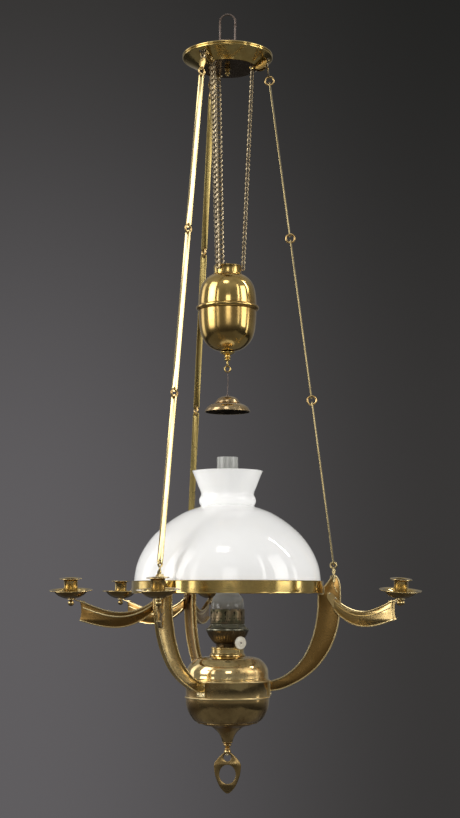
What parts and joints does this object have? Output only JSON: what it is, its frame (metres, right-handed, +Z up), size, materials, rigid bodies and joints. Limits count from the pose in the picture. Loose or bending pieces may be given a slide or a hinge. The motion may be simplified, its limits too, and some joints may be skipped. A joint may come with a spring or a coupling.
{
  "type": "hanging oil lamp",
  "caption": "Hanging brass oil lamp on rods and chains over pulleys, with a counterweight, smoke bell, opal dome shade, glass chimney and candle arms.",
  "frame": {"origin": "inner top of the hanging loop, on the lamp's centre line", "axes": "+Z up along the centre line; +X along the first main arm; the pull plate faces -Y"},
  "size_m": [0.6491, 0.7382, 1.5001],
  "materials": {
    "brass": "polished, lightly aged",
    "pale_brass": "bright polished",
    "aged_brass": "aged, dull",
    "coppery_brass": "coppery, dull",
    "dark_bronze": "dark antique",
    "iron": "dark, worn",
    "chain_brass": "grey-brown, dull",
    "ballast_metal": "cast, not seen",
    "nickel": "nickel plated",
    "cotton": "woven cotton",
    "opal_glass": "glossy opal, solid white",
    "clear_glass": "clear, polished"
  },
  "bodies": {
    "canopy": {"hanger_loop": "iron", "hanger_plate": "iron", "canopy_shell": "brass", "pulley_spider": "iron", "canopy_finial": "aged_brass", "lift_chain_1": "chain_brass", "lift_chain_2": "chain_brass", "lift_chain_3": "chain_brass"},
    "pulley_a": {"pulley_1": "brass"},
    "pulley_b": {"pulley_2": "brass"},
    "pulley_c": {"pulley_3": "brass"},
    "lamp_frame": {"chain_tab_1": "aged_brass", "chain_tab_2": "aged_brass", "chain_tab_3": "aged_brass", "rod_1_1": "pale_brass", "rod_1_2": "pale_brass", "rod_1_3": "pale_brass", "rod_2_1": "pale_brass", "rod_2_2": "pale_brass", "rod_2_3": "pale_brass", "rod_3_1": "pale_brass", "rod_3_2": "pale_brass", "rod_3_3": "pale_brass", "rod_hook_1": "pale_brass", "rod_hook_2": "pale_brass", "rod_hook_3": "pale_brass", "main_arm_1": "brass", "main_arm_2": "brass", "main_arm_3": "brass", "shade_ring": "brass", "candle_arm_1": "brass", "candle_arm_2": "brass", "candle_arm_3": "brass", "candle_arm_4": "brass", "candle_arm_5": "brass", "candle_arm_6": "brass", "candle_holder_1": "brass", "candle_holder_2": "brass", "candle_holder_3": "brass", "candle_holder_4": "brass", "candle_holder_5": "brass", "candle_holder_6": "brass", "font_cup": "brass", "cup_finial": "brass"},
    "counterweight": {"weight_collar": "aged_brass", "weight_upper_shell": "brass", "weight_lower_shell": "brass", "weight_ballast": "ballast_metal", "weight_finial": "brass"},
    "bell": {"bell_wire": "iron", "smoke_bell": "coppery_brass"},
    "pull": {"pull_plate": "aged_brass"},
    "shade": {"shade": "opal_glass"},
    "font": {"reservoir": "brass", "burner_collar": "brass", "burner_body": "dark_bronze", "burner_crown": "dark_bronze"},
    "chimney": {"chimney": "clear_glass"},
    "knob": {"wick_knob": "nickel"},
    "wick": {"wick": "cotton"}
  },
  "joints": [
    {"name": "lamp_drop", "type": "slide", "parent": "canopy", "child": "lamp_frame", "axis": [0, 0, -1], "range_m": [0, 0.35], "deforming": ["lift_chain_1", "lift_chain_2", "lift_chain_3"]},
    {"name": "weight_rise", "type": "slide", "parent": "canopy", "child": "counterweight", "axis": [0, 0, 1], "range_m": [0, 0.35]},
    {"name": "pulley_a_turn", "type": "hinge", "parent": "canopy", "child": "pulley_a", "pos_m": [0.0625, 0, -0.099], "axis": [0, 1, 0], "continuous": true},
    {"name": "pulley_b_turn", "type": "hinge", "parent": "canopy", "child": "pulley_b", "pos_m": [-0.03125, 0.05413, -0.099], "axis": [-0.866, -0.5, 0], "continuous": true},
    {"name": "pulley_c_turn", "type": "hinge", "parent": "canopy", "child": "pulley_c", "pos_m": [-0.03125, -0.05413, -0.099], "axis": [0.866, -0.5, 0], "continuous": true},
    {"name": "bell_swing", "type": "hinge", "parent": "counterweight", "child": "bell", "pos_m": [0, 0, -0.707], "axis": [1, 0, 0], "range_deg": [-15, 15]},
    {"name": "pull_swing", "type": "hinge", "parent": "lamp_frame", "child": "pull", "pos_m": [0, 0, -1.42517], "axis": [0, 1, 0], "range_deg": [-25, 25]},
    {"name": "shade_lift", "type": "slide", "parent": "lamp_frame", "child": "shade", "axis": [0, 0, 1], "range_m": [0, 0.08]},
    {"name": "font_lift", "type": "slide", "parent": "lamp_frame", "child": "font", "axis": [0, 0, 1], "range_m": [0, 0.035]},
    {"name": "chimney_lift", "type": "slide", "parent": "font", "child": "chimney", "axis": [0, 0, 1], "range_m": [0, 0.03]},
    {"name": "knob_turn", "type": "hinge", "parent": "font", "child": "knob", "pos_m": [0, 0, -1.21847], "axis": [0.6691, -0.7431, 0], "range_deg": [0, 114]},
    {"name": "wick_raise", "type": "slide", "parent": "font", "child": "wick", "axis": [0, 0, 1], "range_m": [0, 0.008]}
  ],
  "couplings": [
    {"joint": "weight_rise", "follows": "lamp_drop", "ratio": 1},
    {"joint": "pulley_a_turn", "follows": "lamp_drop", "rad_per_m": 74.074},
    {"joint": "pulley_b_turn", "follows": "lamp_drop", "rad_per_m": 74.074},
    {"joint": "pulley_c_turn", "follows": "lamp_drop", "rad_per_m": 74.074},
    {"joint": "wick_raise", "follows": "knob_turn", "m_per_rad": 0.004}
  ]
}
